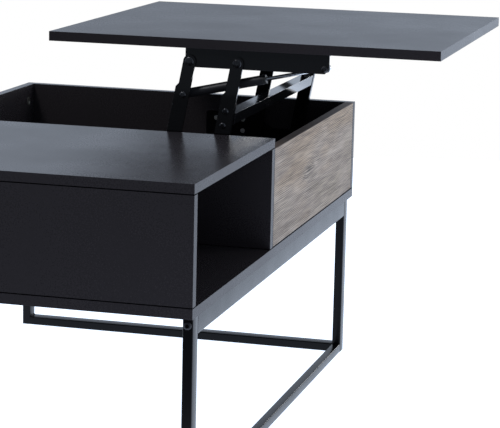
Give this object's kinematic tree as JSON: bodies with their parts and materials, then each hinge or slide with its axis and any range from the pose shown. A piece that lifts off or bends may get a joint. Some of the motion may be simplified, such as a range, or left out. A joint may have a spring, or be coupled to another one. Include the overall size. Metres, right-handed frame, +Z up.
{
  "type": "lift top coffee table",
  "caption": "Low rectangular table on a steel tube frame, with an open cubby and a half top that lifts up and forward on arms.",
  "frame": {"origin": "on the floor, at the middle of the front floor rail's underside", "axes": "+X along the length towards the end with the lift top, -Y towards the user's side, +Z up; rest pose has the lift top raised"},
  "size_m": [1, 0.878, 0.6183],
  "materials": {
    "black_laminate": "black melamine laminate on particle board, satin",
    "oak_decor_laminate": "grey oak pattern laminate on particle board, matt",
    "black_edge_band": "thin plastic edge banding, satin",
    "beech": "fluted beech dowel",
    "zinc_plated": "zinc die-cast, plated",
    "zinc_plated_steel": "zinc plated steel",
    "black_powder_coat": "fine black powder coat",
    "blackened_steel": "black oxide steel",
    "polished_steel": "hard chromed rod",
    "black_nylon": "black nylon",
    "gloss_black_enamel": "gloss black enamel on steel tube",
    "black_lacquered_steel": "pressed steel in semi-gloss black lacquer"
  },
  "bodies": {
    "box_and_frame": {"back_top_rail": "black_powder_coat", "base_rivets": "blackened_steel", "base_spacers": "black_nylon", "bottom_panel": "black_laminate", "bottom_panel_screws": "zinc_plated_steel", "cam_bolts": "zinc_plated_steel", "cam_locks": "zinc_plated", "compartment_back_panel": "black_laminate", "cubby_back_panel": "black_laminate", "decor_front_edge_band": "black_edge_band", "decor_front_panel": "oak_decor_laminate", "divider_panel": "black_laminate", "far_back_leg": "black_powder_coat", "far_base_bracket": "black_lacquered_steel", "far_end_panel": "black_laminate", "far_floor_rail": "black_powder_coat", "far_front_leg": "black_powder_coat", "fixed_top_panel": "black_laminate", "front_floor_rail": "black_powder_coat", "front_top_rail": "black_powder_coat", "leg_bolts": "blackened_steel", "near_back_leg": "black_powder_coat", "near_base_bracket": "black_lacquered_steel", "near_end_panel": "black_laminate", "near_floor_rail": "black_powder_coat", "near_front_leg": "black_powder_coat", "rail_end_plates": "black_powder_coat", "rail_screws": "zinc_plated_steel", "stop_pins": "blackened_steel", "wall_screws": "zinc_plated_steel", "wood_dowels": "beech"},
    "rear_arms": {"near_rear_arm": "black_lacquered_steel", "far_rear_arm": "black_lacquered_steel", "strut_lower_pins": "blackened_steel"},
    "front_arms": {"near_front_arm": "black_lacquered_steel", "far_front_arm": "black_lacquered_steel", "cross_bar": "black_lacquered_steel", "cross_bar_screws": "blackened_steel", "cross_bar_nuts": "zinc_plated_steel"},
    "lift_top": {"lift_top_panel": "black_laminate", "near_upper_bracket": "black_lacquered_steel", "far_upper_bracket": "black_lacquered_steel", "upper_bracket_screws": "zinc_plated_steel", "top_rivets": "blackened_steel", "strut_rivets": "blackened_steel"},
    "near_strut_cylinder": {"near_strut_cylinder": "gloss_black_enamel", "near_strut_cap": "black_nylon"},
    "far_strut_cylinder": {"far_strut_cylinder": "gloss_black_enamel", "far_strut_cap": "black_nylon"},
    "near_strut_rod": {"near_strut_rod": "polished_steel", "near_strut_upper_pin": "blackened_steel"},
    "far_strut_rod": {"far_strut_rod": "polished_steel", "far_strut_upper_pin": "blackened_steel"}
  },
  "joints": [
    {"name": "lift", "type": "hinge", "parent": "box_and_frame", "child": "rear_arms", "pos_m": [0.2075, 0.1715, 0.362], "axis": [-1, 0, 0], "range_deg": [0, 81.6]},
    {"name": "front_arm_swing", "type": "hinge", "parent": "box_and_frame", "child": "front_arms", "pos_m": [0.2075, 0.0945, 0.362], "axis": [-1, 0, 0], "range_deg": [-0.5, 82.1]},
    {"name": "lift_top_level", "type": "hinge", "parent": "rear_arms", "child": "lift_top", "pos_m": [0.2075, 0.13029, 0.58218], "axis": [-1, 0, 0], "range_deg": [-82.1, 0.5]},
    {"name": "near_strut_swing", "type": "hinge", "parent": "rear_arms", "child": "near_strut_cylinder", "pos_m": [-0.0455, 0.14023, 0.5291], "axis": [-1, 0, 0], "range_deg": [-89.45, 0.5]},
    {"name": "near_strut_slide", "type": "slide", "parent": "near_strut_cylinder", "child": "near_strut_rod", "axis": [0, -0.9749, 0.2226], "range_m": [-0.06651, 0.0005]},
    {"name": "far_strut_swing", "type": "hinge", "parent": "rear_arms", "child": "far_strut_cylinder", "pos_m": [0.4605, 0.14023, 0.5291], "axis": [-1, 0, 0], "range_deg": [-89.45, 0.5]},
    {"name": "far_strut_slide", "type": "slide", "parent": "far_strut_cylinder", "child": "far_strut_rod", "axis": [0, -0.9749, 0.2226], "range_m": [-0.06651, 0.0005]}
  ],
  "couplings": [
    {"joint": "front_arm_swing", "follows": "lift", "ratio": 1},
    {"joint": "lift_top_level", "follows": "lift", "ratio": -1},
    {"joint": "near_strut_swing", "follows": "lift", "ratio": -1.0901},
    {"joint": "near_strut_slide", "follows": "lift", "m_per_rad": -0.046351},
    {"joint": "far_strut_swing", "follows": "lift", "ratio": -1.0901},
    {"joint": "far_strut_slide", "follows": "lift", "m_per_rad": -0.046351}
  ]
}
